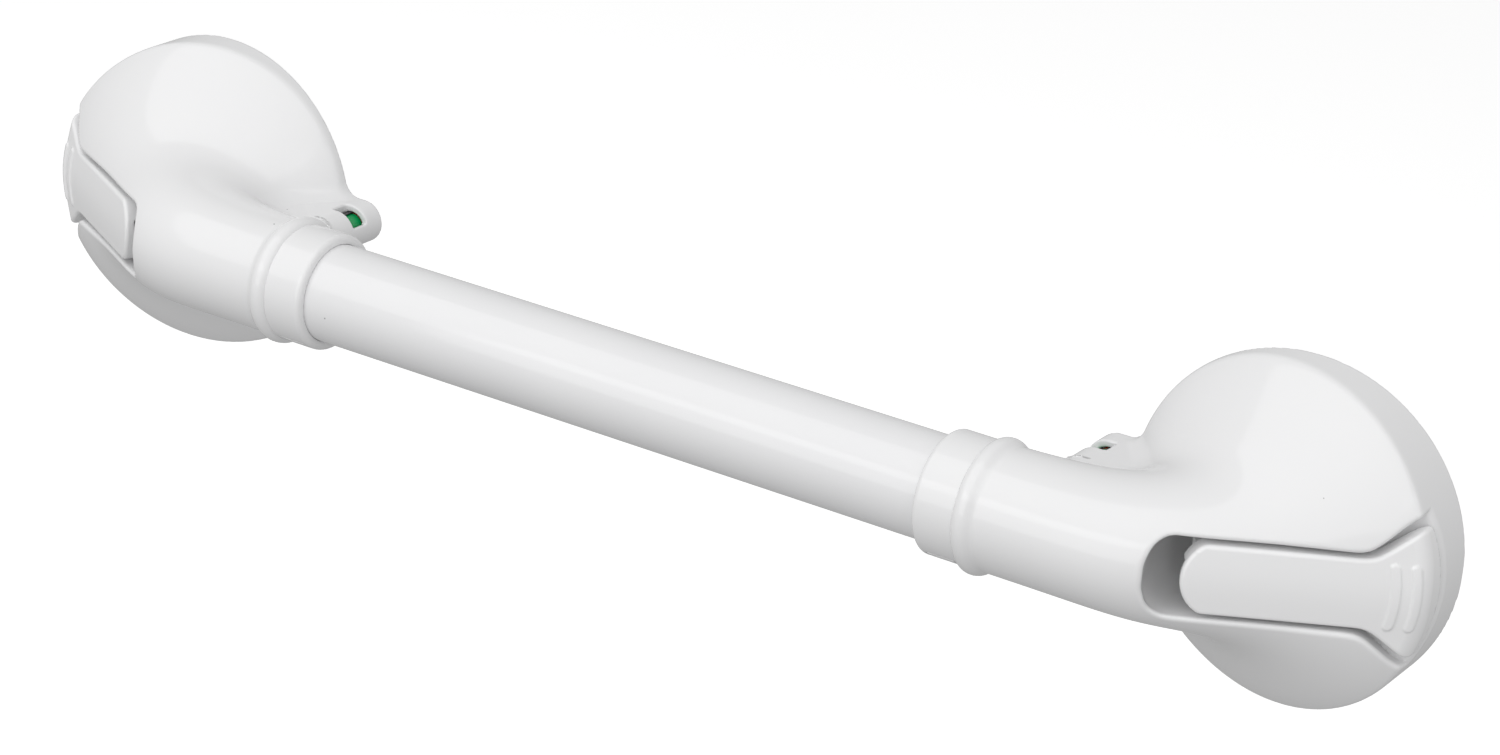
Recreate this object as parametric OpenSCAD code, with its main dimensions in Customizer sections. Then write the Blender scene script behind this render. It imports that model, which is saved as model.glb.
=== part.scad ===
// Suction grab bar: a hand rail held on a smooth wall by two lever-operated suction heads.
// X runs along the bar, the wall is the plane Y = 0 with the user on its -Y side, and Z is up.
// The origin lies on the wall midway between the heads. All sizes are in millimetres.
// A head is drawn as the +X one, with its own centre at X = 0, and mirrored for the other end.

/* [Bar] */
// Distance between the centres of the two suction heads
head_spacing = 460; // [380:5:700]
// Distance of the bar's axis from the wall
bar_height = 60; // [50:1:72]
// Outer diameter of the grip tube
grip_d = 36.5; // [35:0.5:40]
// Outer diameter of the aluminium core tube
core_d = 30; // [24:0.5:31]
// Wall of the core tube
core_wall = 2; // [1.5:0.25:3]
// Outer diameter of the collars
collar_d = 43.5; // [42:0.5:52]
// Length of a collar that shows
collar_l = 16; // [12:0.5:22]

/* [Dome] */
// Radius of the suction head at the wall
cup_r = 60; // [56:1:74]
// Height of the dome alone, before the neck swells it
dome_h = 37.5; // [34:0.5:46]
// Height of the rim band beside the bar
band_h = 10.2; // [8:0.2:14]
// How much higher the band is at the outer end, and lower at the inner end
band_tilt = 11.5; // [0:0.5:14]
// Radius of the neck
neck_r = 21.6; // [20.5:0.1:25]
// Distance from the head's centre to the end of the neck
neck_l = 85; // [82:1:100]
// Reach of the blend between the dome and the neck
blend = 90; // [40:5:100]
// Wall of the dome, measured towards its middle
dome_wall = 3.8; // [3:0.2:4.6]

/* [Lever] */
// Slope of the lever's face against the wall
ramp_angle = 30; // [27:1:33]
// Distance of the lever's pin from the wall
pin_height = 48; // [46:1:52]
// Height of the lever's face above its pin
face_h = 14; // [13:0.5:14.5]
// Length of the lever behind its pin
tail_l = 17.2; // [15:0.2:19]
// Half width of the lever's body
lever_hw = 12.2; // [11.5:0.1:13]
// Half width of the flared finger end
flare_hw = 23; // [19:0.5:24]
// Distance from the pin to the start of the flare
flare_start = 44; // [40:1:48]
// Gap between the lever and its slot
slot_gap = 1.8; // [1.2:0.1:2.5]
// Gap behind the lever's tail, which the tail swings through
tail_gap = 12; // [12:0.5:14]
// Diameter of the lever's pin
pin_d = 6; // [5:0.5:7]
// How far the lever opens, in degrees
lever_swing = 90; // [60:5:95]
// Radius of the cam when the lever is closed
cam_r = 17; // [15.5:0.5:18]

/* [Suction] */
// Travel of the pressure plate
pull_travel = 3.5; // [2:0.5:4.5]
// Radius of the pressure plate
plate_r = 38; // [32:1:40]
// Diameter of the pull stem
stem_d = 8; // [7:0.5:9]
// Thickness of the pad in the middle
pad_t = 5; // [4:0.5:6]

/* [Indicator] */
// Radius of the indicator tongue's nose
nose_r = 8; // [7:0.5:9]
// Height of the tongue above the bar's axis
nose_z = 4; // [0:0.5:6]
// Travel of the indicator
ind_travel = 5; // [3:0.5:6]

/* [Fits] */
// Radial running clearance of the pin and the stem
run_gap = 0.05; // [0.02:0.01:0.1]
// Gap between pieces that sit in one another without moving
seat_gap = 0.1; // [0.05:0.05:0.3]
// Gap between the cam and the plate it bears on
cam_gap = 0.5; // [0.4:0.1:0.8]

/* [Hidden] */
$fn = 72;

// Bar and neck
core_bore_r = core_d / 2 + run_gap;
core_end = 37;                        // distance from the head's centre to the core tube's end
sleeve_r = core_bore_r + 3.4;         // neck sleeve inside the dome
spigot_r = grip_d / 2 + 0.05;         // end of the neck that carries the collar
spigot_l = 4.5;
bead_r = neck_r + 2.1;
bead_w = 6;
skin_end = neck_l - 1.5;              // the free-form skin ends here, inside the bead

// Dome
rim_gap = 0.8;                        // the rim stands this far off the wall
band_r = cup_r + 0.4;
mid_u = -10;                          // middle point that the skin is measured from
mid_y = -bar_height + 5;
neck_fade = -27;                      // the neck starts to taper into the dome here
neck_taper = 0.59;
neck_drop = 0.38;
plan_pow = 1.7;
rise_pow = 1.3;

// Lever, in the frame of the pin: X along the lever, Y towards the wall
shoulder_r = 10;
lever_t = 2.6;                        // skin of the lever
skirt_h = 8.5;                        // height of the lever's side skirts
lever_wall = 2.5;
flare_l = 14;
flare_gap = 3.4;                      // gap beside the finger end
tail_round = 14;                      // radius of the tail in plan
notch_hw = 5;                         // opening in the tail's end wall
scoop_r = 26;                         // curved back wall of the slot, which the tail swings past
scoop_depth = -8;
scoop_low = 12;
scoop_end = -15;
slot_hw = lever_hw + slot_gap;
slot_wall = 2.5;
pocket_floor = -3.5;
cam_in = stem_d / 2 + 0.7;            // cam cheeks start beside the stem's head
cam_out = lever_hw - lever_wall;
cam_open_r = cam_r - pull_travel;
pin_r = pin_d / 2;
pin_half = cam_out + 0.6;

// Stack along the head's axis, as distances from the wall
cam_plate_top = pin_height - cam_r - cam_gap;
cam_plate_t = 2;
cam_plate_r = 30;
cam_plate_u = 4;
screw_ring = 25;
screw_angles = [60, 120, 240, 300];
boss_r = 4.2;
pad_lift = pull_travel + 0.5;         // hollow under the middle of the clamped pad
pad_back = pad_lift + pad_t;
pad_r = cup_r - 2.7;
lip_t = 2.6;
plate_t = 3;
plate_top = pad_back + plate_t;
hub_r = 9;
hub_top = plate_top + 8;
nut_t = 4.2;
nut_top = hub_top + 0.1 + nut_t;
recess_h = 5;

// Indicator
nose_u = -(cup_r + 7.4);
ind_bore_r = nose_r - 2.6;
ind_r = ind_bore_r - 0.4;
ind_pin_r = 2.6;
ear_t = 2.6;
window_low = 10;
window_high = 17;
red_low = window_low - 5.4;
green_top = window_high + 0.6;
ind_top = green_top + 1.4;
ind_bore_top = ind_top + ind_travel + 9;

function smooth_min(a, b, k) = let(h = max(k - abs(a - b), 0) / k) min(a, b) - h * h * h * k / 6;
function smooth_max(a, b, k) = -smooth_min(-a, -b, k);
function soft_step(x, w) = x > 20 * w ? x : w * ln(1 + exp(x / w));

// Skin of dome and neck: negative inside, zero on the surface
function dome_field(u, y, z) =
  let(rise = max(-y - band_h - band_tilt * u / cup_r, 0) / (dome_h - band_h),
      rho = sqrt(u * u + z * z))
  (pow(pow(rho / cup_r, plan_pow) + pow(rise, rise_pow), 1 / plan_pow) - 1) * 0.9 * cup_r;
function neck_field(u, y, z) =
  let(past = soft_step(u - neck_fade, 8))
  norm([y + bar_height - neck_drop * past, z, neck_taper * past]) - neck_r;
function band_field(u, y, z) = sqrt(u * u + z * z) - band_r - 4 * max(-y - 28, 0);
function skin_field(p) = smooth_max(
  smooth_min(dome_field(p[0], p[1], p[2]), neck_field(p[0], p[1], p[2]), blend),
  band_field(p[0], p[1], p[2]), 3);
function clipped_field(p) = max(skin_field(p), -p[0] - skin_end - 12);

// Distance from the middle point to the skin along direction d
function reach(mid, d, low, high, n) =
  let(half = (low + high) / 2)
  n == 0 ? half : clipped_field(mid + half * d) < 0
    ? reach(mid, d, half, high, n - 1) : reach(mid, d, low, half, n - 1);

// Rings of skin points around the middle point, closer together beside the neck.
// inset moves them in along their rays, for the inside of the wall.
function skin_ring(mid, cols, tilt_share, inset) = [for (i = [0 : cols - 1])
  let(turn = 360 * i / cols, phi = turn + 28 * sin(turn),
      rim = [band_r * cos(phi), 0, band_r * sin(phi)] - mid,
      lean = acos(-rim[1] / norm(rim)) * tilt_share,
      side = [rim[0], 0, rim[2]] / norm([rim[0], 0, rim[2]]),
      d = side * sin(lean) + [0, -cos(lean), 0])
  mid + d * (reach(mid, d, 0, 140, 14) - inset)];

module skin(cols, rows, inset) {
  mid = [mid_u, mid_y, 0];
  pole = mid + [0, -1, 0] * (reach(mid, [0, -1, 0], 0, 140, 14) - inset);
  rings = [for (r = [1 : rows]) skin_ring(mid, cols, r / rows, inset)];
  points = concat([pole, [0, 0, 0]], [for (ring = rings) for (p = ring) p]);
  polyhedron(points, concat(
    [for (i = [0 : cols - 1]) [0, 2 + (i + 1) % cols, 2 + i]],
    [for (r = [0 : rows - 2]) for (i = [0 : cols - 1])
      let(a = 2 + r * cols + i, b = 2 + r * cols + (i + 1) % cols) each [[a, b, b + cols], [a, b + cols, a + cols]]],
    [for (i = [0 : cols - 1]) [1, 2 + (rows - 1) * cols + i, 2 + (rows - 1) * cols + (i + 1) % cols]]));
}

// Placing
module right() { translate([head_spacing / 2, 0, 0]) children(); }
module left() { mirror([1, 0, 0]) right() children(); }
module at_pin() { translate([0, -pin_height, 0]) rotate([0, 0, ramp_angle]) children(); }
// Extrudes a plan, drawn as X along the lever and Y across it, from depth a to depth b below the pin
module along_pin() { translate([0, 0, -40]) linear_extrude(80) children(); }
module through(a, b) { translate([0, b, 0]) rotate([90, 0, 0]) linear_extrude(b - a) children(); }
module along_bar(a, b, r) { translate([a, -bar_height, 0]) rotate([0, 90, 0]) cylinder(h = b - a, r = r); }
module off_wall(a, b, r, fn = $fn) { translate([0, -a, 0]) rotate([90, 0, 0]) cylinder(h = b - a, r = r, $fn = fn); }
module turned() { rotate([90, 0, 0]) rotate_extrude() children(); }

module helix(r, wire_r, turns, low, high) {
  steps = 12;
  sides = 6;
  count = turns * steps;
  rings = [for (i = [0 : count]) let(a = 360 * i / steps) [for (j = [0 : sides - 1])
    let(b = 360 * j / sides, q = r + wire_r * cos(b))
    [q * cos(a), -(low + wire_r + (high - low - 2 * wire_r) * i / count + wire_r * sin(b)), q * sin(a)]]];
  polyhedron([for (ring = rings) for (p = ring) p], concat(
    [[for (j = [sides - 1 : -1 : 0]) j]], [[for (j = [0 : sides - 1]) count * sides + j]],
    [for (i = [0 : count - 1]) for (j = [0 : sides - 1])
      let(a = i * sides + j, b = i * sides + (j + 1) % sides) each [[a, b, b + sides], [a, b + sides, a + sides]]]));
}

// Plans of the slot and the lever
module slot_plan(grow = 0) {
  tail = -(tail_l + tail_gap) - grow;
  half = slot_hw + grow;
  corner = 9;
  translate([tail + corner, -half + corner]) circle(corner);
  translate([tail + corner, half - corner]) circle(corner);
  translate([tail, -half + corner]) square([corner, 2 * (half - corner)]);
  translate([tail + corner, -half]) square([flare_start - tail - corner, 2 * half]);
  flare_plan(half, flare_hw + flare_gap + grow, flare_start - 2 - grow * 0.4);
}
module flare_plan(near, far, start) {
  polygon([[start - 4, -near], [start, -near], [start + flare_l, -far], [start + 40, -far],
    [start + 40, far], [start + flare_l, far], [start, near], [start - 4, near]]);
}
module lever_plan(inset = 0) {
  half = lever_hw - inset;
  intersection() {
    translate([tail_round - tail_l, 0]) circle(tail_round - inset);
    translate([-tail_l, -half]) square([tail_l + 1, 2 * half]);
  }
  translate([0, -half]) square([flare_start + 1, 2 * half]);
  flare_plan(half, flare_hw - inset, flare_start + inset * 0.3);
}

// Side view of the lever's face: straight, then turned over the shoulder down the band.
// back is the depth below the face.
function shoulder_x() = (band_r - face_h * sin(ramp_angle)) / cos(ramp_angle)
  - shoulder_r * tan((90 - ramp_angle) / 2);
function face_curve(back, steps) = let(r = shoulder_r - back) [
  for (i = [0 : steps]) let(a = (90 - ramp_angle) * i / steps)
    [shoulder_x() + r * sin(a), -face_h + shoulder_r - r * cos(a)]];
function lever_tip(back) = let(p = face_curve(back, 1)[1])
  p + 4.8 * [sin(ramp_angle), cos(ramp_angle)];

module lever_shape() {
  at_pin() {
    difference() {
      intersection() {
        along_pin() polygon(concat([[-tail_l, skirt_h - face_h], [-tail_l, -face_h]], face_curve(0, 10),
          [lever_tip(0), [shoulder_x() + 2, skirt_h - face_h]]));
        through(-60, 20) lever_plan();
      }
      // hollow underside, open through the tail's end wall
      intersection() {
        along_pin() polygon([[-tail_l, lever_t - face_h], [shoulder_x(), lever_t - face_h],
          [shoulder_x() + 3, lever_t - face_h + 2], [shoulder_x() + 3, 20], [-tail_l, 20]]);
        through(-60, 25) lever_plan(lever_wall);
      }
      translate([-tail_l - 1, lever_t + 1 - face_h, -notch_hw]) cube([8, 20, 2 * notch_hw]);
    }
    // grip ribs
    for (x = [shoulder_x() - 4.5, shoulder_x() + 2.3])
      translate([x, -face_h + (x > shoulder_x() ? 1 : 0.7), 0]) {
        cylinder(h = 20, r = 1.6, center = true, $fn = 24);
        for (s = [-1, 1]) translate([0, 0, 10 * s]) sphere(1.6, $fn = 24);
      }
    // cam cheeks beside the stem's head
    for (s = [-1, 1]) translate([0, 0, s * (cam_in + cam_out) / 2]) difference() {
      linear_extrude(cam_out - cam_in + 0.02, center = true) polygon(concat(
        [[-13, -face_h + 1], [15, -face_h + 1]],
        [for (a = [0 : 6 : 204]) let(open = min(max(a - 90 + ramp_angle, 0) / lever_swing, 1))
          (cam_r - pull_travel * open) * [cos(a), sin(a)]]));
      cylinder(h = 30, r = pin_r + run_gap, center = true);
    }
  }
}
module lever_body() {
  color("white") intersection() {
    lever_shape();
    union() {
      off_wall(0, 120, band_r + 0.1);
      translate([-cup_r, -100, -cup_r]) cube([cup_r, 100, 2 * cup_r]);
    }
  }
}

// Curved back wall of the slot; half is its half width
module scoop(r, half) {
  intersection() {
    translate([scoop_r - tail_l - tail_gap, scoop_depth, 0]) cylinder(h = 2 * half, r = r, center = true);
    translate([-60, -60, -half]) cube([60 + scoop_end, 60 + scoop_low, 2 * half]);
  }
}
module slot_cut() {
  at_pin() {
    through(-60, pocket_floor) slot_plan();
    scoop(scoop_r, slot_hw);
    through(pocket_floor - 0.01, 2) intersection() {
      slot_plan();
      translate([scoop_end - 0.01, -40]) square([flare_start - 2 - scoop_end, 80]);
    }
    through(2 - 0.01, scoop_low + 0.01) translate([scoop_end - 2, -slot_hw]) square([2.01, 2 * slot_hw]);
  }
}

// What stays solid inside the dome: neck sleeve, the neck's end wall, slot walls,
// pocket floor and screw bosses
module ribs() {
  along_bar(-neck_l - 20, -neck_l + bead_w + 1, bead_r);
  along_bar(-neck_l - 20, -core_end + 3, sleeve_r);
  at_pin() through(-60, pocket_floor + slot_wall) slot_plan(slot_wall);
  at_pin() scoop(scoop_r + slot_wall, slot_hw + slot_wall);
  at_bosses() off_wall(cam_plate_top, 90, boss_r);
  at_tube_screws() off_wall(bar_height - sleeve_r - 1, bar_height, 4);
}
module at_bosses() {
  for (a = screw_angles) translate([cam_plate_u + screw_ring * cos(a), 0, screw_ring * sin(a)]) children();
}
module at_tube_screws() {
  for (z = [-7, 7]) translate([-core_end - 7, 0, z]) children();
}

module tongue() {
  translate([nose_u, 0, nose_z]) {
    off_wall(rim_gap, bar_height - neck_r + 4, nose_r);
    translate([0, -(bar_height - neck_r + 4), -nose_r]) cube([12, bar_height - neck_r + 4 - rim_gap, 2 * nose_r]);
  }
}
module tongue_cuts() {
  translate([nose_u, 0, nose_z]) {
    off_wall(-1, ear_t + 0.4, nose_r - 1.8);
    translate([0, -ear_t - 0.4, -nose_r + 1.8]) cube([14, ear_t + 1.4, 2 * nose_r - 3.6]);
    off_wall(0, ind_bore_top, ind_bore_r);
    // window round the top of the nose
    translate([0, -window_high, 0]) rotate([-90, 0, 0]) linear_extrude(window_high - window_low)
      polygon([[0, 0], [0, -12], [-12, -12], [-12, -4.4]]);
  }
}

module housing() {
  color("white") difference() {
    union() {
      difference() {
        skin(48, 22, 0);
        translate([-200, -rim_gap, -100]) cube([400, 100, 200]);
        translate([-200 - skin_end, -150, -100]) cube([200, 200, 200]);
      }
      along_bar(-neck_l - spigot_l, -neck_l + 1, spigot_r - seat_gap);
      translate([-neck_l + bead_w / 2, -bar_height, 0]) rotate([0, 90, 0]) rotate_extrude()
        bead_profile();
      tongue();
    }
    difference() {
      skin(48, 22, dome_wall);
      ribs();
    }
    off_wall(-1, recess_h, pad_r + 0.4);
    along_bar(-neck_l - spigot_l - 1, -core_end, core_bore_r);
    slot_cut();
    at_bosses() off_wall(cam_plate_top - 1, cam_plate_top + 10, 1.6);
    at_tube_screws() off_wall(bar_height - sleeve_r - 2, bar_height - 5, 1.6);
    tongue_cuts();
  }
}
module bead_profile() {
  translate([bead_r - bead_w / 2, 0]) circle(bead_w / 2);
  translate([core_bore_r + 1, -bead_w / 2]) square([bead_r - bead_w / 2 - core_bore_r - 1, bead_w]);
}

module collar() {
  edge = 1.2;
  low = grip_d / 2 + seat_gap;
  high = collar_d / 2;
  color("white") difference() {
    translate([-neck_l - collar_l, -bar_height, 0]) rotate([0, 90, 0]) rotate_extrude() polygon(concat(
      [[low, 0]], [for (a = [0 : 15 : 90]) [high - edge + edge * sin(a), edge - edge * cos(a)]],
      [[high, collar_l - seat_gap], [low, collar_l - seat_gap]]));
    // window of the snap tongue, on the underside
    translate([-neck_l - 6, -bar_height - 4, -collar_d / 2 - 1]) cube([3.5, 8, 6]);
  }
}

module pin() {
  color("silver") translate([0, -pin_height, 0]) cylinder(h = 2 * pin_half, r = pin_r, center = true);
}

module stem() {
  head_r = 7.5;
  color("silver") difference() {
    union() {
      translate([0, -pin_height, 0]) cylinder(h = stem_d + 0.4, r = head_r, center = true);
      off_wall(plate_top - 2, pin_height - 2, stem_d / 2);
    }
    translate([0, -pin_height, 0]) cylinder(h = 20, r = pin_r + 0.02, center = true);
  }
}

module lock_nut() {
  color("silver") difference() {
    off_wall(hub_top + 0.1, nut_top, 7.5, 6);
    off_wall(hub_top - 1, nut_top + 1, stem_d / 2 + 0.02);
  }
}

module cam_plate() {
  color("dimgray") difference() {
    translate([cam_plate_u, 0, 0]) off_wall(cam_plate_top - cam_plate_t, cam_plate_top, cam_plate_r);
    off_wall(0, 100, stem_d / 2 + run_gap);
    at_bosses() off_wall(0, 100, 2.1);
  }
}

module screw(seat, length, head_side = 1) {
  off_wall(seat - 2.4, seat, 3.6);
  off_wall(seat - 0.1, seat + length, 1.55);
}
module plate_screws() { color("silver") at_bosses() screw(cam_plate_top - cam_plate_t - 0.02, 11.5); }
module tube_screws() { color("silver") at_tube_screws() screw(bar_height - sleeve_r - 1.02, 8); }

module pressure_plate() {
  color("dimgray") difference() {
    union() {
      turned() polygon([[0, pad_back + 0.02], [plate_r, pad_back + 0.02], [plate_r, plate_top - 0.6],
        [plate_r - 0.6, plate_top], [hub_r, plate_top], [hub_r, hub_top], [0, hub_top]]);
      for (a = [0 : 45 : 315]) rotate([0, a, 0]) translate([hub_r + 5.2, 0, 0])
        rotate([90, 0, 0]) linear_extrude(plate_top + 2.6) square([plate_r - hub_r - 8, 2.4], center = false);
    }
    turned() square([plate_r + 1, pad_back + 0.02]);
    off_wall(plate_top - 2.1, 100, stem_d / 2 + 0.02);
  }
}

module suction_pad() {
  color("gainsboro") {
    turned() polygon([[0, pad_lift], [plate_r - 6, pad_lift], [plate_r + 1, pad_lift * 0.62],
      [plate_r + 6, 0], [pad_r - 0.8, 0], [pad_r, 0.8], [pad_r, lip_t], [pad_r - 6, lip_t + 0.6],
      [plate_r + 1.5, pad_back - 1.6], [plate_r, pad_back], [0, pad_back]]);
    // ear under the indicator
    translate([nose_u, 0, nose_z]) {
      off_wall(0.2, ear_t, nose_r - 2.3);
      translate([0, -ear_t, -nose_r + 2.3]) cube([-nose_u - pad_r + 3, ear_t - 0.2, 2 * nose_r - 4.6]);
    }
  }
}

module return_spring() {
  color("silver") helix(12.6, 0.9, 5, plate_top + 0.05, cam_plate_top - cam_plate_t - 0.05);
}

module indicator_plunger() {
  color("black") translate([nose_u, 0, nose_z]) {
    off_wall(ear_t + 0.4, ind_top, ind_pin_r);
    off_wall(green_top + 0.02, ind_top, ind_r);
  }
}
module indicator_ring(low, high) {
  translate([nose_u, 0, nose_z]) difference() {
    off_wall(low, high, ind_r);
    off_wall(low - 1, high + 1, ind_pin_r + 0.02);
  }
}
module indicator_green() { color("green") indicator_ring(window_low - 0.3, green_top); }
module indicator_red() { color("red") indicator_ring(red_low, window_low - 0.32); }
module indicator_spring() {
  color("silver") translate([nose_u, 0, nose_z]) helix(3.2, 0.5, 6, ind_top + 0.05, ind_bore_top - 0.05);
}

module grip_tube() {
  half = head_spacing / 2 - neck_l - spigot_l - 0.2;
  color("white") translate([0, -bar_height, 0]) rotate([0, 90, 0]) difference() {
    cylinder(h = 2 * half, r = grip_d / 2, center = true);
    cylinder(h = 2 * half + 2, r = core_d / 2 + seat_gap, center = true);
  }
}
module core_tube() {
  half = head_spacing / 2 - core_end - 0.2;
  color("silver") difference() {
    translate([0, -bar_height, 0]) rotate([0, 90, 0]) difference() {
      cylinder(h = 2 * half, r = core_d / 2, center = true);
      cylinder(h = 2 * half + 2, r = core_d / 2 - core_wall, center = true);
    }
    for (m = [0, 1]) mirror([m, 0, 0]) right() at_tube_screws() off_wall(0, bar_height, 1.6);
  }
}

grip_tube();
core_tube();
right() housing();  // housing_right
left() housing();  // housing_left
right() collar();  // collar_right
left() collar();  // collar_left
right() lever_body();  // lever_right
left() lever_body();  // lever_left
right() pin();  // lever_pin_right
left() pin();  // lever_pin_left
right() stem();  // stem_right
left() stem();  // stem_left
right() lock_nut();  // lock_nut_right
left() lock_nut();  // lock_nut_left
right() pressure_plate();  // pressure_plate_right
left() pressure_plate();  // pressure_plate_left
right() suction_pad();  // suction_pad_right
left() suction_pad();  // suction_pad_left
right() return_spring();  // return_spring_right
left() return_spring();  // return_spring_left
right() cam_plate();  // cam_plate_right
left() cam_plate();  // cam_plate_left
right() plate_screws();  // plate_screws_right
left() plate_screws();  // plate_screws_left
right() tube_screws();  // tube_screws_right
left() tube_screws();  // tube_screws_left
right() indicator_plunger();  // indicator_plunger_right
left() indicator_plunger();  // indicator_plunger_left
right() indicator_green();  // indicator_green_right
left() indicator_green();  // indicator_green_left
right() indicator_red();  // indicator_red_right
left() indicator_red();  // indicator_red_left
right() indicator_spring();  // indicator_spring_right
left() indicator_spring();  // indicator_spring_left
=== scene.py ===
import math

import bmesh
import bpy
import numpy as np
from mathutils import Matrix, Vector


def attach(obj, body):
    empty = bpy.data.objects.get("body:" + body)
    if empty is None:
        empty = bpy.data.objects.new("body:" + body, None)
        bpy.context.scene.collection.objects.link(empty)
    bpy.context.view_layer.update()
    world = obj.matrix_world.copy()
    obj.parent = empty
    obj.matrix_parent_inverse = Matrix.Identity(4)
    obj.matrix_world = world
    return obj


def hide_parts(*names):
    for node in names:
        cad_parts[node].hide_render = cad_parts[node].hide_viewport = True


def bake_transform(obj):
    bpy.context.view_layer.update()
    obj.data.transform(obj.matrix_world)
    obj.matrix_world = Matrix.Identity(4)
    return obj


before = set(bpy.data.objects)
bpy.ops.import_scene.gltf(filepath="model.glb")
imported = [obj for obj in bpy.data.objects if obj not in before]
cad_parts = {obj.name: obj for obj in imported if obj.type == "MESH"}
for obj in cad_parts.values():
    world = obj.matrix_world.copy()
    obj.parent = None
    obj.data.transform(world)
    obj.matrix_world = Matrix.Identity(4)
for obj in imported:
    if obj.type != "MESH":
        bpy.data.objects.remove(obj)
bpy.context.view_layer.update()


# ---------------------------------------------------------------------------
# Studio
# A plain white floor far below the bar, a bright sky, and three soft boxes: a wide one
# overhead, one in front and one off the right-hand head.
azimuth, elevation, roll = (math.radians(x) for x in (31.87, 22.13, 4.42))
distance, shift_right, shift_up = 1.4493, 0.00988, -0.01325
focal, sensor = 96.94, 36
toward = Vector((math.sin(azimuth) * math.cos(elevation),
                 -math.cos(azimuth) * math.cos(elevation), math.sin(elevation)))
level = Vector((math.cos(azimuth), math.sin(azimuth), 0))
over = toward.cross(level)
side = level * math.cos(roll) + over * math.sin(roll)
top = over * math.cos(roll) - level * math.sin(roll)
camera_data = bpy.data.cameras.new("camera")
camera_data.lens, camera_data.sensor_width = focal, sensor
camera_data.clip_end = 60
camera = bpy.data.objects.new("camera", camera_data)
camera.matrix_world = Matrix((side, top, toward)).transposed().to_4x4()
camera.location = toward * distance + side * shift_right + top * shift_up
bpy.context.collection.objects.link(camera)
bpy.context.scene.camera = camera
bpy.context.scene.view_settings.view_transform = "Standard"

floor_z, floor_half = -0.32, 9
floor_mesh = bpy.data.meshes.new("floor")
floor_corners = ((-1, -1), (1, -1), (1, 1), (-1, 1))
floor_points = [(x * floor_half, y * floor_half, floor_z) for x, y in floor_corners]
floor_mesh.from_pydata(floor_points, [], [(0, 1, 2, 3)])
floor = bpy.data.objects.new("floor", floor_mesh)
bpy.context.collection.objects.link(floor)
floor.visible_diffuse = floor.visible_glossy = False
floor_finish = bpy.data.materials.new("floor_paper")
floor_finish.use_nodes = True
paper = floor_finish.node_tree.nodes["Principled BSDF"]
paper.inputs["Base Color"].default_value = (0.93, 0.93, 0.93, 1)
paper.inputs["Roughness"].default_value = 0.95
paper.inputs["Specular IOR Level"].default_value = 0.0
paper.inputs["Emission Color"].default_value = (1, 1, 1, 1)
paper.inputs["Emission Strength"].default_value = 0.4
floor_mesh.materials.append(floor_finish)

# sky: brightest at the horizon, greyest below it
world = bpy.data.worlds.new("studio")
bpy.context.scene.world = world
world.use_nodes = True
nodes, links = world.node_tree.nodes, world.node_tree.links
where = nodes.new("ShaderNodeTexCoord")
split = nodes.new("ShaderNodeSeparateXYZ")
ramp = nodes.new("ShaderNodeValToRGB")
rise = nodes.new("ShaderNodeMath")
rise.operation = "MULTIPLY_ADD"
rise.inputs[1].default_value = rise.inputs[2].default_value = 0.5
links.new(where.outputs["Generated"], split.inputs[0])
links.new(split.outputs["Z"], rise.inputs[0])
links.new(rise.outputs[0], ramp.inputs[0])
nadir, zenith = ramp.color_ramp.elements
nadir.position, nadir.color = 0.0, (0.42, 0.42, 0.42, 1)
zenith.position, zenith.color = 1.0, (0.55, 0.55, 0.55, 1)
for place, shade in ((0.3, 0.47), (0.5, 0.60), (0.7, 0.60)):
    ramp.color_ramp.elements.new(place).color = (shade, shade, shade, 1)
links.new(ramp.outputs[0], nodes["Background"].inputs["Color"])
nodes["Background"].inputs["Strength"].default_value = 0.9


def soft_box(name, place, target, width, height, power):
    lamp = bpy.data.lights.new(name, "AREA")
    lamp.shape, lamp.size, lamp.size_y, lamp.energy = "RECTANGLE", width, height, power
    obj = bpy.data.objects.new(name, lamp)
    aim = (Vector(target) - Vector(place)).to_track_quat("-Z", "Y")
    obj.matrix_world = Matrix.Translation(place) @ aim.to_matrix().to_4x4()
    bpy.context.collection.objects.link(obj)
    return obj


soft_box("overhead_box", (0.0, -0.85, 1.15), (0, -0.03, 0), 3.0, 1.8, 14.2)
soft_box("front_box", (-0.3, -2.1, 0.6), (0, -0.03, 0), 2.2, 1.4, 9.0)
soft_box("side_box", (1.9, -0.6, 0.4), (0.1, -0.03, 0), 1.7, 1.7, 4.0)


# ---------------------------------------------------------------------------
# Tubes
# The rail is an extruded aluminium tube that runs into both heads. A white ABS
# sleeve is slid over it between the collars; its long wall is extruded, then polished.
def new_mesh(name, points, faces, finish, body, normals=None):
    """Makes a piece from points in millimetres and lets it ride on a body."""
    mesh = bpy.data.meshes.new(name)
    mesh.from_pydata((np.asarray(points, float) / 1000).tolist(), [], [list(map(int, f)) for f in faces])
    mesh.update()
    mesh.shade_smooth()
    if normals is not None:
        mesh.normals_split_custom_set_from_vertices(normals.tolist())
    obj = bpy.data.objects.new(name, mesh)
    bpy.context.collection.objects.link(obj)
    mesh.materials.append(finish)
    if body:
        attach(obj, body)
    return obj


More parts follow.
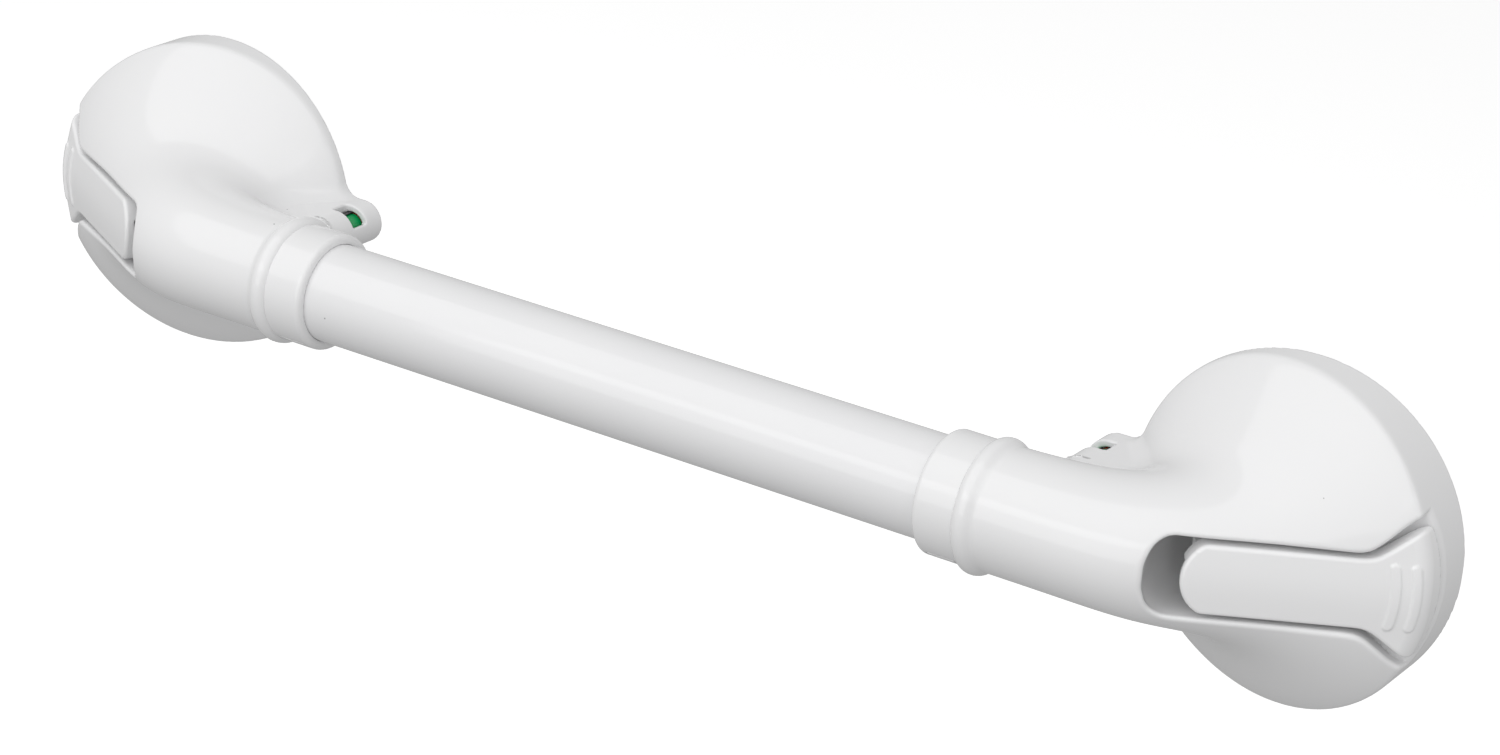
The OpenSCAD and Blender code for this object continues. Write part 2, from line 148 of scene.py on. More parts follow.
def lathe(profile, axis, centre, sides=128):
    """Points and faces of a closed profile of (radius, distance along the axis), turned round it."""
    profile = np.asarray(profile, float)
    turn = np.linspace(0, 2 * math.pi, sides, endpoint=False)
    a, b = {"x": ((0, 1, 0), (0, 0, 1)), "y": ((0, 0, 1), (1, 0, 0))}[axis]
    along = np.cross(a, b)
    ring = np.outer(np.cos(turn), a) + np.outer(np.sin(turn), b)
    points = (profile[None, :, 0, None] * ring[:, None, :] + profile[None, :, 1, None] * along).reshape(-1, 3)
    n = len(profile)
    faces = []
    for i in range(sides):
        j = (i + 1) % sides
        for k in range(n):
            m = (k + 1) % n
            if profile[k, 0] < 1e-6 and profile[m, 0] < 1e-6:
                continue
            faces.append((i * n + k, j * n + k, j * n + m, i * n + m))
    return points + np.asarray(centre, float), faces


def tidy(obj, sharp=None):
    """Merges doubles, points every face outwards and marks edges over sharp degrees."""
    work = bmesh.new()
    work.from_mesh(obj.data)
    bmesh.ops.remove_doubles(work, verts=work.verts, dist=1e-6)
    bmesh.ops.dissolve_degenerate(work, edges=work.edges, dist=1e-7)
    bmesh.ops.recalc_face_normals(work, faces=work.faces)
    work.to_mesh(obj.data)
    work.free()
    if sharp:
        obj.data.set_sharp_from_angle(angle=math.radians(sharp))
    return obj


def surface_group():
    """Moulded surface: faint cloudiness, roughness and the dust specks of a white moulding."""
    group = bpy.data.node_groups.new("moulded_surface", "ShaderNodeTree")
    face = group.interface
    face.new_socket("Vector", in_out="INPUT", socket_type="NodeSocketVector")
    for name, value in (("Grain Scale", 900.0), ("Roughness Low", 0.2), ("Roughness High", 0.3),
                        ("Speck Scale", 60.0), ("Speck Size", 0.03)):
        face.new_socket(name, in_out="INPUT", socket_type="NodeSocketFloat").default_value = value
    for name in ("Cloud", "Speck", "Roughness", "Height"):
        face.new_socket(name, in_out="OUTPUT", socket_type="NodeSocketFloat")
    n, l = group.nodes, group.links
    enter, leave = n.new("NodeGroupInput"), n.new("NodeGroupOutput")
    cloud = n.new("ShaderNodeTexNoise")
    cloud.inputs["Scale"].default_value = 14
    cloud.inputs["Detail"].default_value = 4
    l.new(enter.outputs["Vector"], cloud.inputs["Vector"])
    l.new(cloud.outputs["Fac"], leave.inputs["Cloud"])
    grain = n.new("ShaderNodeTexNoise")
    grain.inputs["Detail"].default_value = 3
    l.new(enter.outputs["Vector"], grain.inputs["Vector"])
    l.new(enter.outputs["Grain Scale"], grain.inputs["Scale"])
    l.new(grain.outputs["Fac"], leave.inputs["Height"])
    smear = n.new("ShaderNodeTexNoise")
    smear.inputs["Scale"].default_value = 45
    smear.inputs["Detail"].default_value = 5
    smear.inputs["Distortion"].default_value = 0.6
    l.new(enter.outputs["Vector"], smear.inputs["Vector"])
    spread = n.new("ShaderNodeMapRange")
    spread.inputs["From Min"].default_value = 0.3
    spread.inputs["From Max"].default_value = 0.7
    l.new(smear.outputs["Fac"], spread.inputs["Value"])
    l.new(enter.outputs["Roughness Low"], spread.inputs["To Min"])
    l.new(enter.outputs["Roughness High"], spread.inputs["To Max"])
    l.new(spread.outputs["Result"], leave.inputs["Roughness"])
    dots = n.new("ShaderNodeTexVoronoi")
    l.new(enter.outputs["Vector"], dots.inputs["Vector"])
    l.new(enter.outputs["Speck Scale"], dots.inputs["Scale"])
    near = n.new("ShaderNodeMath")
    near.operation = "LESS_THAN"
    l.new(dots.outputs["Distance"], near.inputs[0])
    l.new(enter.outputs["Speck Size"], near.inputs[1])
    l.new(near.outputs[0], leave.inputs["Speck"])
    return group


moulded_surface = surface_group()


def moulding(name, colour, deep, rough=(0.2, 0.3), grain=900.0, bump=0.02, speck=0.03,
             sss=0.0):
    """Moulded plastic or rubber: colour drifts to deep, and specks darken it."""
    finish = bpy.data.materials.new(name)
    finish.use_nodes = True
    n, l = finish.node_tree.nodes, finish.node_tree.links
    shader = n["Principled BSDF"]
    where = n.new("ShaderNodeTexCoord")
    grp = n.new("ShaderNodeGroup")
    grp.node_tree = moulded_surface
    l.new(where.outputs["Object"], grp.inputs["Vector"])
    for key, value in (("Grain Scale", grain), ("Roughness Low", rough[0]), ("Roughness High", rough[1]),
                       ("Speck Size", speck)):
        grp.inputs[key].default_value = value
    drift = n.new("ShaderNodeMix")
    drift.data_type = "RGBA"
    drift.inputs["A"].default_value = (*colour, 1)
    drift.inputs["B"].default_value = (*deep, 1)
    l.new(grp.outputs["Cloud"], drift.inputs["Factor"])
    dot = n.new("ShaderNodeMix")
    dot.data_type = "RGBA"
    dot.inputs["B"].default_value = (*(0.45 * c for c in deep), 1)
    l.new(drift.outputs["Result"], dot.inputs["A"])
    l.new(grp.outputs["Speck"], dot.inputs["Factor"])
    l.new(dot.outputs["Result"], shader.inputs["Base Color"])
    l.new(grp.outputs["Roughness"], shader.inputs["Roughness"])
    relief = n.new("ShaderNodeBump")
    relief.inputs["Strength"].default_value = bump
    relief.inputs["Distance"].default_value = 0.0002
    l.new(grp.outputs["Height"], relief.inputs["Height"])
    l.new(relief.outputs["Normal"], shader.inputs["Normal"])
    shader.inputs["IOR"].default_value = 1.53
    if sss:
        shader.inputs["Subsurface Weight"].default_value = sss
        shader.inputs["Subsurface Scale"].default_value = 0.003
    return finish


grip_white = moulding("grip_white", (0.84, 0.84, 0.845), (0.80, 0.80, 0.81), rough=(0.06, 0.11), speck=0.02)
bar_height, grip_r, grip_half = 60.0, 18.25, 140.3
grip_bore, edge = 15.1, 0.5
outline = [(grip_bore, -grip_half), (grip_r - edge, -grip_half), (grip_r, -grip_half + edge),
           (grip_r, grip_half - edge), (grip_r - edge, grip_half), (grip_bore, grip_half)]
points, faces = lathe(outline, "x", (0, -bar_height, 0), 160)
grip = tidy(new_mesh("grip_sleeve", points, faces, grip_white, "bar"), 40)
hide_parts("grip_tube")


def metal(name, colour, rough, stretch, scale=300.0):
    """Machined or drawn metal with marks drawn out along one axis."""
    finish = bpy.data.materials.new(name)
    finish.use_nodes = True
    n, l = finish.node_tree.nodes, finish.node_tree.links
    shader = n["Principled BSDF"]
    shader.inputs["Metallic"].default_value = 1.0
    where, place = n.new("ShaderNodeTexCoord"), n.new("ShaderNodeMapping")
    place.inputs["Scale"].default_value = stretch
    marks = n.new("ShaderNodeTexNoise")
    marks.inputs["Scale"].default_value = scale
    marks.inputs["Detail"].default_value = 5
    l.new(where.outputs["Object"], place.inputs["Vector"])
    l.new(place.outputs["Vector"], marks.inputs["Vector"])
    tone = n.new("ShaderNodeMix")
    tone.data_type = "RGBA"
    tone.inputs["A"].default_value = (*colour, 1)
    tone.inputs["B"].default_value = (*(0.78 * c for c in colour), 1)
    l.new(marks.outputs["Fac"], tone.inputs["Factor"])
    l.new(tone.outputs["Result"], shader.inputs["Base Color"])
    dull = n.new("ShaderNodeMapRange")
    dull.inputs["To Min"].default_value = rough[0]
    dull.inputs["To Max"].default_value = rough[1]
    l.new(marks.outputs["Fac"], dull.inputs["Value"])
    l.new(dull.outputs["Result"], shader.inputs["Roughness"])
    relief = n.new("ShaderNodeBump")
    relief.inputs["Strength"].default_value = 0.05
    relief.inputs["Distance"].default_value = 0.0001
    l.new(marks.outputs["Fac"], relief.inputs["Height"])
    l.new(relief.outputs["Normal"], shader.inputs["Normal"])
    return finish


def finish_node(name, finish):
    """Gives a carried-over CAD node its finish."""
    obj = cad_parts[name]
    if not obj.material_slots:
        obj.data.materials.append(finish)
    for s in obj.material_slots:
        s.material = finish


aluminium = metal("drawn_aluminium", (0.77, 0.78, 0.79), (0.25, 0.45), (0.05, 1, 1))
finish_node("core_tube", aluminium)


# ---------------------------------------------------------------------------
# Housings
# Each head's shell is one ABS moulding: a dome that sweeps into a round neck, a
# sunk bay for the lever, and a tongue under the neck with the indicator's window.
centre = 230.0
cup_r, dome_h, band_h, band_tilt, band_r = 60.0, 37.5, 10.2, 11.5, 60.1
neck_r, neck_fade, neck_taper, neck_drop, blend_reach = 21.6, -27.0, 0.59, 0.38, 90.0
plan_pow, rise_pow, rim_gap, wall = 1.7, 1.3, 0.8, 3.2
skin_end, neck_l, bead_u, bead_rr = 83.5, 85.0, -82.0, 20.7
core_bore, sleeve_r, core_end = 15.05, 18.45, 37.0
nose_u, nose_z, nose_r, bore_r, window_y, window_half = -67.4, 4.0, 8.0, 5.4, 13.5, 3.9
pin_height, ramp = 48.0, math.radians(30)
slot_half, slot_tail, flare_start, flare_l, flare_half = 14.0, 29.2, 44.0, 14.0, 26.4
pocket_floor, slot_wall = -3.5, 2.5


def soft_step(x, w):
    return w * np.logaddexp(0, x / w)


def smooth_min(a, b, k):
    h = np.maximum(k - np.abs(a - b), 0) / k
    return np.minimum(a, b) - h ** 3 * k / 6


def round_cut(a, b, r):
    """Where both a and b hold, with the edge between them rounded to radius r."""
    return np.minimum(-r, np.maximum(a, b)) + np.hypot(np.maximum(a + r, 0), np.maximum(b + r, 0))


def round_join(a, b, r):
    """Where a or b holds, with a fillet of radius r between them."""
    return np.maximum(r, np.minimum(a, b)) - np.hypot(np.maximum(r - a, 0), np.maximum(r - b, 0))


def raw_skin(u, y, z):
    rho = np.hypot(u, z)
    up = np.maximum(-y - band_h - band_tilt * u / cup_r, 0) / (dome_h - band_h)
    dome = (((rho / cup_r) ** plan_pow + up ** rise_pow) ** (1 / plan_pow) - 1) * 0.9 * cup_r
    past = soft_step(u - neck_fade, 8)
    neck = np.sqrt((y + bar_height - neck_drop * past) ** 2 + z ** 2 + (neck_taper * past) ** 2) - neck_r
    band = rho - band_r - 4 * np.maximum(-y - 28, 0)
    return -smooth_min(-smooth_min(dome, neck, blend_reach), -band, 1.5)


def skin(u, y, z):
    """Distance from the outside of dome and neck."""
    e = 0.05
    s = raw_skin(u, y, z)
    slope = np.sqrt((raw_skin(u + e, y, z) - s) ** 2 + (raw_skin(u, y + e, z) - s) ** 2
                    + (raw_skin(u, y, z + e) - s) ** 2) / e
    return s / np.clip(slope, 0.5, 3)


def pin_frame(u, y):
    """Coordinates along the lever and square to its face, from its pin."""
    return (u * math.cos(ramp) + (y + pin_height) * math.sin(ramp),
            -u * math.sin(ramp) + (y + pin_height) * math.cos(ramp))


def flared(s, near, far, start, soft=1.6):
    """Half width along the lever, and how much to scale the distance beside it."""
    slope = (far - near) / flare_l
    width = near + slope * (soft_step(s - start, soft) - soft_step(s - start - flare_l, soft))
    lean = slope * (1 / (1 + np.exp(-(s - start) / soft)) - 1 / (1 + np.exp(-(s - start - flare_l) / soft)))
    return width, 1 / np.sqrt(1 + lean ** 2)


def scooped(s, t):
    """Side view of the back wall: two arcs, one just outside the tail's own swing."""
    return smooth_min(np.hypot(s + 3.2, t + 8) - 26, np.hypot(s, t) - 22.8, 2)


def bay(u, y, z):
    """The lever's bay: a pocket, a slot through the skin, and a curved back wall behind the tail."""
    s, t = pin_frame(u, y)
    width, scale = flared(s, slot_half, flare_half, flare_start - 2)
    plan = round_cut((np.abs(z) - width) * scale, -s - slot_tail, 12)
    back = round_cut(scooped(s, t), np.abs(z) - slot_half, 10)
    pocket = np.maximum(plan, t - pocket_floor)
    slot = np.maximum(np.maximum(plan, t - 2), np.maximum(-15 - s, s - flare_start + 2))
    return np.minimum(pocket, np.minimum(slot, np.maximum(back, s)))


def bay_walls(u, y, z):
    """The solid round the bay, a wall's thickness outside it."""
    s, t = pin_frame(u, y)
    width, scale = flared(s, slot_half, flare_half, flare_start - 2)
    plan = np.maximum((np.abs(z) - width) * scale, -s - slot_tail) - slot_wall
    back = np.maximum(scooped(s, t), np.abs(z) - slot_half) - slot_wall
    pocket = np.maximum(plan, t - pocket_floor - slot_wall)
    return np.minimum(pocket, np.maximum(back, np.maximum(s + 3, y + 31.5)))


screw_ring, screw_u = 25, 4
screw_spots = [(screw_u + screw_ring * math.cos(math.radians(a)), screw_ring * math.sin(math.radians(a)))
               for a in (60, 120, 240, 300)]


def housing_field(u, y, z):
    out = skin(u, y, z)
    around = np.hypot(y + bar_height, z)
    out = round_cut(out, -u - skin_end, 0.3)
    # bead at the end of the neck, and the spigot inside the collar
    past = around - bead_rr
    bead = np.hypot(np.maximum(past, np.minimum(past + 2, 0)), 0.84 * (u - bead_u)) - 3
    out = round_join(out, bead, 1.4)
    out = np.minimum(out, np.maximum(around - 18.2, np.maximum(-u - neck_l - 4.5, u + 80)))
    # tongue
    nu, nz = u - nose_u, z - nose_z
    nose = np.where(nu < 0, np.hypot(nu, nz), np.abs(nz)) - nose_r
    nose = np.maximum(nose, np.maximum(-y - 50, u + 25))
    out = round_join(out, nose, 5)
    out = round_cut(out, y + rim_gap, 0.7)
    # what stays solid behind the skin
    ribs = np.minimum(np.maximum(around - sleeve_r, u + core_end - 3), bay_walls(u, y, z))
    for bu, bz in screw_spots:
        ribs = np.minimum(ribs, np.maximum(np.hypot(u - bu, z - bz) - 4.2, y + 30.5))
    hollow = np.maximum(skin(u, y, z) + wall, -ribs)
    out = round_cut(out, -hollow, 0.4)
    out = round_cut(out, -np.maximum(np.hypot(u, z) - 57.7, -5 - y), 0.4)
    out = np.maximum(out, -np.maximum(around - core_bore, u + core_end))
    out = round_cut(out, -bay(u, y, z), 2.0)
    for bu, bz in screw_spots:
        out = np.maximum(out, -np.maximum(np.hypot(u - bu, z - bz) - 1.6, -y - 40.5))
    # indicator bore, its window and the seat of the pad's ear
    out = np.maximum(out, -np.maximum(np.hypot(nu, nz) - bore_r, -33 - y))
    window = round_cut(nu - 2.8, -(4.4 * nu + 12 * nz) / 12.78, 1)
    window = round_cut(window, np.abs(y + window_y) - window_half, 1)
    window = np.maximum(window, -nz)
    out = round_cut(out, -np.maximum(window, np.hypot(nu, nz) - 14), 0.7)
    # drain slit in the fold under the neck
    slit_cos, slit_sin = -0.522, -0.853
    inward, across = slit_cos * u + slit_sin * z, -slit_sin * u + slit_cos * z
    slit = np.maximum(np.maximum(np.abs(across) - 5, np.abs(y + 15) - 0.8), 55 - inward)
    out = round_cut(out, -slit, 0.3)
    ear = np.where(nu < 0, np.hypot(nu, nz), np.abs(nz)) - nose_r + 1.8
    return np.maximum(out, -np.maximum(np.maximum(ear, -3.0 - y), u + 53.4))


def moulded(field, low, high, step):
    """Closed mesh of a field's zero surface: a vertex in each cell that it crosses, moved on to it."""
    block = 4  # cells that share one coarse sample
    axes = [a + step * np.arange(block * math.ceil((b - a) / step / block)) for a, b in zip(low, high)]
    coarse = [a[::block] for a in axes]
    rough = field(*np.meshgrid(*coarse, indexing="ij"))
    value = rough.repeat(block, 0).repeat(block, 1).repeat(block, 2).astype(np.float32)
    near = (np.abs(rough) < block * step * 2.2).repeat(block, 0).repeat(block, 1).repeat(block, 2)
    at = np.nonzero(near)
    value[near] = field(*(a[i] for a, i in zip(axes, at)))
    inside = value < 0
    shape = np.array(inside.shape) - 1
    corners = [(i, j, k) for i in (0, 1) for j in (0, 1) for k in (0, 1)]
    count = sum(inside[i:i + shape[0], j:j + shape[1], k:k + shape[2]].astype(np.int8)
                for i, j, k in corners)
    cell = np.nonzero((count > 0) & (count < 8))
    total, hits = np.zeros((len(cell[0]), 3)), np.zeros(len(cell[0]))
    for a in corners:
        for d in range(3):
            if a[d]:
                continue
            b = tuple(a[i] + (i == d) for i in range(3))
            va = value[cell[0] + a[0], cell[1] + a[1], cell[2] + a[2]]
            vb = value[cell[0] + b[0], cell[1] + b[1], cell[2] + b[2]]
            cross = (va < 0) != (vb < 0)
            share = np.where(cross, va / np.where(cross, va - vb, 1), 0)
            spot = np.tile(np.array(a, float), (len(va), 1))
            spot[:, d] += share
            total += spot * cross[:, None]
            hits += cross
    points = np.array(low) + step * (np.stack(cell, 1) + total / hits[:, None])
    number = np.full(shape, -1)
    number[cell] = np.arange(len(points))
    quads = []
    for d in range(3):
        e, f = (d + 1) % 3, (d + 2) % 3
        first, second = [slice(1, -1)] * 3, [slice(1, -1)] * 3
        first[d], second[d] = slice(0, -1), slice(1, None)
        a, b = inside[tuple(first)], inside[tuple(second)]
        spot = np.stack(np.nonzero(a != b), 1)
        offset = np.ones(3, int)
        offset[d] = 0
        spot = spot + offset
        step_e, step_f = np.eye(3, dtype=int)[e], np.eye(3, dtype=int)[f]
        loop = [spot - step_e - step_f, spot - step_f, spot, spot - step_e]
        quad = np.stack([number[tuple(c.T)] for c in loop], 1)
        flip = ~inside[tuple(spot.T)]
        quad[flip] = quad[flip][:, ::-1]
        quads.append(quad)
    quads = np.concatenate(quads)
    quads = quads[(quads >= 0).all(1)]
    tiny, rounds, stride = 0.02, 4, 0.35 * step
    for _ in range(rounds):
        here = field(*points.T)
        slope = np.stack([(field(*(points + tiny * np.eye(3)[d]).T) - here) / tiny for d in range(3)], 1)
        size = np.maximum((slope ** 2).sum(1), 0.1)
        move = -here[:, None] * slope / size[:, None]
        reach = np.linalg.norm(move, axis=1, keepdims=True)
        points = points + move * np.minimum(1, stride / np.maximum(reach, 1e-9))
    tiny = 0.12
    slope = np.stack([field(*(points + tiny * np.eye(3)[d]).T) - field(*(points - tiny * np.eye(3)[d]).T)
                      for d in range(3)], 1)
    length = np.linalg.norm(slope, axis=1, keepdims=True)
    return points, quads, slope / np.maximum(length, 1e-9)


def on_side(shape, sign):
    """Moves a head's shape to its end of the bar; the left one is the mirror image."""
    points, quads, normals = shape
    flip = np.array([sign, 1, 1])
    return (points + [centre, 0, 0]) * flip, quads if sign > 0 else quads[:, ::-1], normals * flip


gloss_white = moulding("gloss_white", (0.84, 0.84, 0.845), (0.815, 0.815, 0.82), rough=(0.07, 0.13), speck=0.02)
shell = moulded(housing_field, (-91, -86, -63), (63, 2, 63), 0.9)
for end, sign in (("right", 1), ("left", -1)):
    points, quads, normals = on_side(shell, sign)
    piece = new_mesh(f"shell_{end}", points, quads, gloss_white, "bar", normals)
    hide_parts(f"housing_{end}")


# ---------------------------------------------------------------------------
# Collars
# A white ABS ring snaps over the spigot at the end of each neck and hides the end
# of the grip sleeve. Its mouth is rounded over towards the sleeve.
collar_r, collar_l, tab_u, tab_turn = 21.75, 16.0, 92.5, math.radians(62)


def collar_field(u, y, z):
    around = np.hypot(y + bar_height, z)
    ring = round_cut(around - collar_r, -u - neck_l - collar_l, 2.0)
    ring = round_cut(ring, u + neck_l + 0.05, 0.3)
    ring = round_cut(ring, 18.3 - around, 0.1)
    # groove round the snap tongue, low on the front
    turn = np.arctan2(z, -(y + bar_height)) + tab_turn
    tab = np.maximum(np.abs(turn) * 20 - 4.2, np.abs(u + tab_u) - 5.6)
    groove = np.maximum(np.abs(tab) - 0.3, collar_r - 0.45 - around)
    return np.maximum(ring, -groove)


ring = moulded(collar_field, (-103, -84, -24), (-83, -36, 24), 0.55)
for end, sign in (("right", 1), ("left", -1)):
    points, quads, normals = on_side(ring, sign)
    piece = new_mesh(f"collar_ring_{end}", points, quads, gloss_white, "bar", normals)
    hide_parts(f"collar_{end}")


# ---------------------------------------------------------------------------
# Levers
# Each lever is one ABS moulding: a crowned face, a flared finger end with two raised
# ribs, side skirts, and two cam cheeks that bear on the plate inside the head.
lever_half, lever_flare, tail_l, tail_round, face_h = 12.2, 23.0, 17.2, 14, 14.0
cam_r, pull, rib_places = 17.0, 3.5, (51.4, 58.2)


def lever_field(u, y, z):
    s, t = pin_frame(u, y)
    crown = 0.010 * z ** 2 / (1 + z ** 2 / 400)
    face = round_cut(crown - face_h - t, np.hypot(u, z) - band_r, 3.6)
    width, scale = flared(s, lever_half, lever_flare, flare_start, 1.4)
    edge = (np.abs(z) - width) * scale
    round_end = s + tail_l - tail_round
    tail = np.where(round_end < 0, np.hypot(round_end, z), np.abs(z) - 2 * round_end) - tail_round
    body = round_cut(round_cut(edge, tail, 0.8), face, 1.3)
    body = round_cut(body, t + 5.1, 0.5)
    hollow = np.maximum(np.maximum(edge + 2.5, tail + 2.5), face + 2.6)
    hollow = np.minimum(hollow, np.maximum(np.maximum(np.abs(z) - 5, s + 10), -10.4 - t))
    body = round_cut(body, -hollow, 0.4)
    for at in rib_places:
        bow = s - at + 0.010 * z ** 2
        rib = np.hypot(bow, np.maximum(np.abs(z) - 10, 0)) - 1.7
        body = round_join(body, round_cut(round_cut(rib, face - 0.6, 0.7), -face - 2, 0.1), 0.5)
    turn = np.degrees(np.arctan2(t, s))
    opened = np.clip((np.where(turn < -150, turn + 360, turn) - 60) / 90, 0, 1)
    cam = np.maximum(np.hypot(s, t) - cam_r + pull * opened, -6 - t)
    block = np.maximum(np.abs(s - 1) - 14, np.maximum(-13 - t, t))
    cheek = np.maximum(np.minimum(cam, block), np.abs(np.abs(z) - 7.2) - 2.5)
    cheek = np.maximum(cheek, 3.05 - np.hypot(s, t))
    return round_join(body, cheek, 0.3)


# The lever's white is a lighter copy of the housing's white plastic: painted light, standing in for the extra
# light on the lever faces.
lever_white_painted_light = moulding("lever_white_painted_light", (0.875, 0.875, 0.88), (0.85, 0.85, 0.855), rough=(0.10, 0.17), speck=0.02)
arm = moulded(lever_field, (-18, -76, -25), (62, -16, 25), 0.6)
for end, sign in (("right", 1), ("left", -1)):
    points, quads, normals = on_side(arm, sign)
    piece = new_mesh(f"lever_arm_{end}", points, quads, lever_white_painted_light, f"lever_{end}", normals)
    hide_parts(f"lever_{end}")


# ---------------------------------------------------------------------------
# Suction pads
# Soft translucent PVC discs. In use the middle is bonded to the pressure plate and lifts with it,
# and the rim stays on the wall, so the pad stretches between the two; here each pad is one fixed shape that
# rides no body.
pad_r = 57.3
soft_pvc = moulding("soft_pvc", (0.62, 0.64, 0.65), (0.54, 0.56, 0.58), rough=(0.35, 0.5), grain=400.0,
                    bump=0.08, speck=0.05, sss=0.2)
under = [(0, 4.0)] + [(r, 4.0 - 0.12 * (k % 2)) for k, r in enumerate(np.arange(4, 31, 2.0))]
under += [(32, 4.0), (39, 2.48), (42, 1.0), (43.5, 0.1), (44.3, 0.0), (45.2, 0.5), (46.5, 0.7),
          (47.8, 0.5), (48.6, 0.0), (50, 0.55), (51.4, 0.7), (52.8, 0.5), (53.8, 0.0), (55.6, 0.0),
          (56.5, 0.25), (57.1, 0.9)]
over_side = [(57.3, 1.5), (57.3, 2.2), (56.9, 2.6), (51.3, 3.2), (44, 5.6), (39.5, 7.4), (38, 9.0), (0, 9.0)]
pad_points, pad_faces = lathe([(r, -y) for r, y in under + over_side], "y", (0, 0, 0), 144)
# the ear under the indicator: a round end and a root inside the disc
ear_half, ear_root = 5.7, -nose_u - pad_r + 3
ear_arc = [(-ear_half * math.cos(t), ear_half * math.sin(t))
           for t in np.linspace(math.pi / 2, -math.pi / 2, 17)]
ear_ring = [(a + nose_u, b + nose_z)
            for a, b in [(ear_root, ear_half)] + ear_arc + [(ear_root, -ear_half)]]
n, first = len(ear_ring), len(pad_points)
ear_points = [(u, y, z) for y in (-0.25, -2.55) for u, z in ear_ring]
ear_faces = [tuple(range(n)), tuple(range(2 * n - 1, n - 1, -1))]
ear_faces += [(i, (i + 1) % n, (i + 1) % n + n, i + n) for i in range(n)]
faces = pad_faces + [tuple(first + i for i in f) for f in ear_faces]
for end, sign in (("right", 1), ("left", -1)):
    points = (np.concatenate([pad_points, np.array(ear_points)]) + [centre, 0, 0]) * [sign, 1, 1]
    piece = tidy(new_mesh(f"pad_{end}", points, faces, soft_pvc, None), 50)
    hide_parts(f"suction_pad_{end}")
    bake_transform(piece)


# ---------------------------------------------------------------------------
# Drive
# The pin, stem, nut and pressure plate move together; the cams bear on the cam plate.
# Pin, stem, nut and screws are steel, and both plates are grey glass-filled nylon.
steel = metal("zinc_steel", (0.66, 0.66, 0.64), (0.22, 0.4), (1, 1, 1), 600.0)
cam_plastic = moulding("cam_plastic_finish", (0.33, 0.335, 0.34), (0.27, 0.275, 0.28), rough=(0.35, 0.5),
                       bump=0.1)
for end in ("right", "left"):
    for name in ("lever_pin", "stem", "lock_nut", "plate_screws", "tube_screws"):
        finish_node(f"{name}_{end}", steel)
    for name in ("cam_plate", "pressure_plate"):
        finish_node(f"{name}_{end}", cam_plastic)


# ---------------------------------------------------------------------------
# Springs
# The coil under the cam plate lifts the lever's pull off; the small one in the tongue
# presses the indicator onto the pad's ear. Both are spring steel wire.
spring_steel = metal("spring_wire", (0.55, 0.56, 0.58), (0.2, 0.35), (1, 1, 1), 900.0)


def coil(name, middle, r, wire, turns, low, high, finish):
    """A wire spring round middle, square to the wall, from distance low to high off it."""
    sizes = {"Radius": r / 1000, "Wire": wire / 1000, "Turns": turns, "Height": (high - low - 2 * wire) / 1000}
    tree = bpy.data.node_groups.new(name, "GeometryNodeTree")
    tree.interface.new_socket("Geometry", in_out="OUTPUT", socket_type="NodeSocketGeometry")
    named = {}
    for key, value in sizes.items():
        s = tree.interface.new_socket(key, in_out="INPUT", socket_type="NodeSocketFloat")
        s.default_value = value
        named[key] = s.identifier
    n, l = tree.nodes, tree.links
    enter, leave = n.new("NodeGroupInput"), n.new("NodeGroupOutput")
    spiral = n.new("GeometryNodeCurveSpiral")
    spiral.inputs["Resolution"].default_value = 32
    l.new(enter.outputs["Turns"], spiral.inputs["Rotations"])
    l.new(enter.outputs["Radius"], spiral.inputs["Start Radius"])
    l.new(enter.outputs["Radius"], spiral.inputs["End Radius"])
    l.new(enter.outputs["Height"], spiral.inputs["Height"])
    ring = n.new("GeometryNodeCurvePrimitiveCircle")
    ring.inputs["Resolution"].default_value = 10
    l.new(enter.outputs["Wire"], ring.inputs["Radius"])
    tube = n.new("GeometryNodeCurveToMesh")
    tube.inputs["Fill Caps"].default_value = True
    l.new(spiral.outputs["Curve"], tube.inputs["Curve"])
    l.new(ring.outputs["Curve"], tube.inputs["Profile Curve"])
    real, paint = n.new("GeometryNodeRealizeInstances"), n.new("GeometryNodeSetMaterial")
    paint.inputs["Material"].default_value = finish
    l.new(tube.outputs["Mesh"], real.inputs["Geometry"])
    l.new(real.outputs["Geometry"], paint.inputs["Geometry"])
    l.new(paint.outputs["Geometry"], leave.inputs["Geometry"])
    carrier = bpy.data.objects.new(name + "_tree", bpy.data.meshes.new(name + "_tree"))
    bpy.context.collection.objects.link(carrier)
    carrier.modifiers.new("coil", "NODES").node_group = tree
    for key, value in sizes.items():
        carrier.modifiers["coil"][named[key]] = value
    bpy.context.view_layer.update()
    grown = carrier.evaluated_get(bpy.context.evaluated_depsgraph_get())
    mesh = bpy.data.meshes.new_from_object(grown)
    bpy.data.objects.remove(carrier)
    mesh.transform(Matrix.Translation(Vector((middle[0], -low - wire, middle[1])) / 1000)
                   @ Matrix.Rotation(math.pi / 2, 4, "X"))
    mesh.shade_smooth()
    obj = bpy.data.objects.new(name, mesh)
    bpy.context.collection.objects.link(obj)
    return tidy(obj)


for end, sign in (("right", 1), ("left", -1)):
    spring = coil(f"return_coil_{end}", (sign * centre, 0), 12.6, 0.9, 5, 12.05, 28.45, spring_steel)
    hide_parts(f"return_spring_{end}")
    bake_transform(spring)
    spring = coil(f"indicator_coil_{end}", (sign * (centre + nose_u), nose_z), 3.2, 0.5, 6, 19.05, 32.95,
                  spring_steel)
    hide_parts(f"indicator_spring_{end}")
    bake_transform(spring)
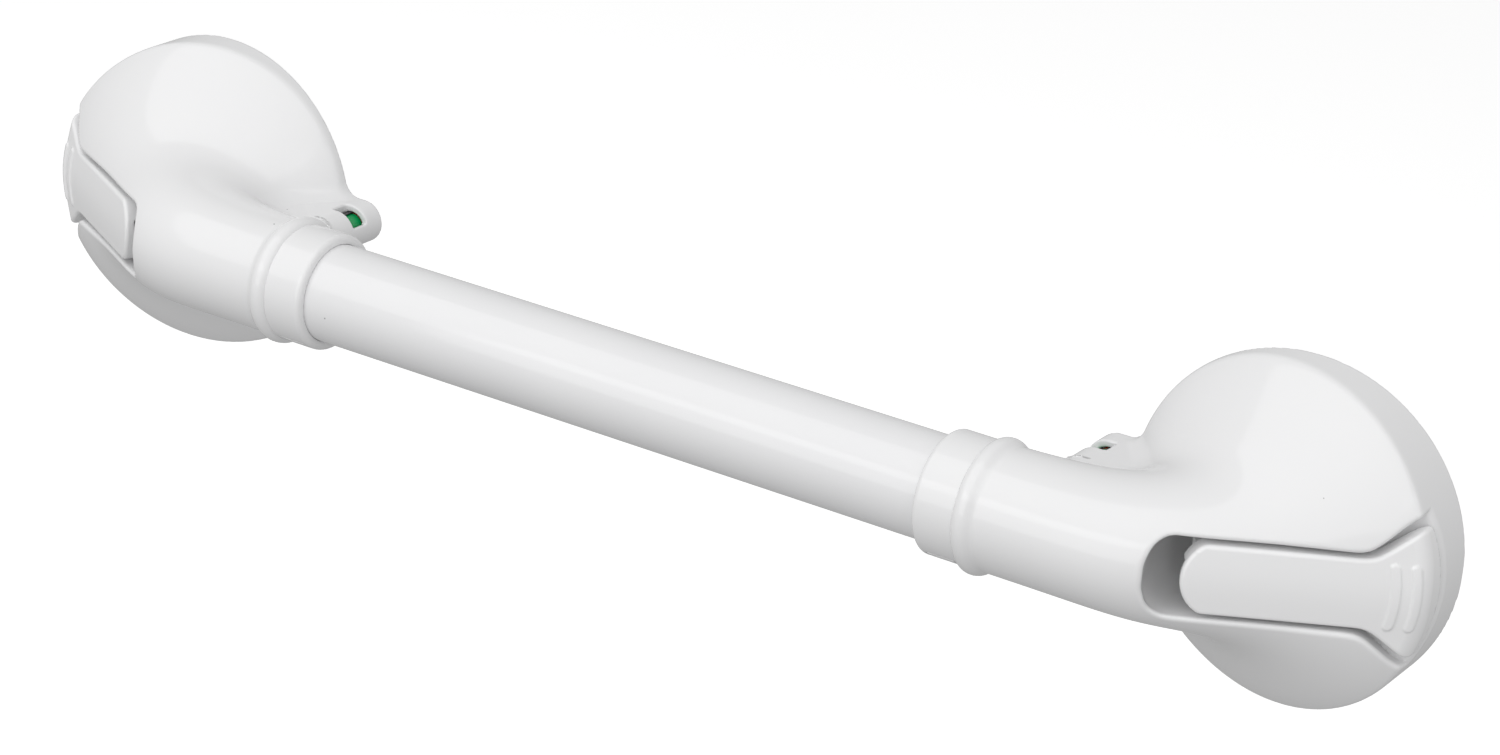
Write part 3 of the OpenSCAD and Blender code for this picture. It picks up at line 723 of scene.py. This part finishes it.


# ---------------------------------------------------------------------------
# Indicators
# A black plunger carries a green and a red ring; the ring in the window tells whether
# the pad is pulled tight. All are moulded acetal. A thin black sheet lines the bore round them: painted shade
# for the shadow in the bore.
drum_black = moulding("indicator_black_finish", (0.025, 0.025, 0.028), (0.015, 0.015, 0.018), rough=(0.2, 0.35))
drum_green = moulding("indicator_green_finish", (0.0, 0.36, 0.10), (0.0, 0.29, 0.08), rough=(0.2, 0.35))
drum_red = moulding("indicator_red_finish", (0.55, 0.02, 0.02), (0.45, 0.015, 0.015), rough=(0.2, 0.35))


def drum(name, low, high, finish, body, node):
    """A ring on the plunger, with chamfered ends and a shallow groove."""
    middle, bore, radius = (low + high) / 2, 2.65, 4.6
    outline = [(bore, -low), (radius - 0.3, -low), (radius, -low - 0.3), (radius, 0.25 - middle),
               (radius - 0.2, -middle), (radius, -0.25 - middle), (radius, 0.3 - high),
               (radius - 0.3, -high), (bore, -high)]
    points, faces = lathe(outline, "y", (centre + nose_u, 0, nose_z), 48)
    piece = tidy(new_mesh(name, points * [sign, 1, 1], faces, finish, body), 35)
    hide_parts(node)


for end, sign in (("right", 1), ("left", -1)):
    finish_node(f"indicator_plunger_{end}", drum_black)
    body = f"indicator_{end}"
    drum(f"drum_green_{end}", 8.3, 17.55, drum_green, body, f"indicator_green_{end}")
    drum(f"drum_red_{end}", 4.65, 8.2, drum_red, body, f"indicator_red_{end}")
    # the black sheet paints the shadow in the bore, and is open towards the window
    turn = np.radians(np.linspace(60, 300, 33)) * -1 + math.radians(28)
    arc = [(-math.cos(t), math.sin(t)) for t in turn]
    rows = [(r, y) for y in (-8.5, -20) for r in (5.38, 5.2)]
    points = [(centre + nose_u + r * a, y, nose_z + r * b) for a, b in arc for r, y in rows]
    steps = len(arc) - 1
    faces = [(0, 1, 3, 2), tuple(4 * steps + k for k in (0, 2, 3, 1))]
    for k in range(steps):
        for a, b in ((0, 1), (1, 3), (3, 2), (2, 0)):
            faces.append((4 * k + a, 4 * k + 4 + a, 4 * k + 4 + b, 4 * k + b))
    painted_shade_sheet = tidy(new_mesh(f"indicator_painted_shade_sheet_{end}", np.array(points) * [sign, 1, 1], faces,
                          drum_black, "bar"), 35)
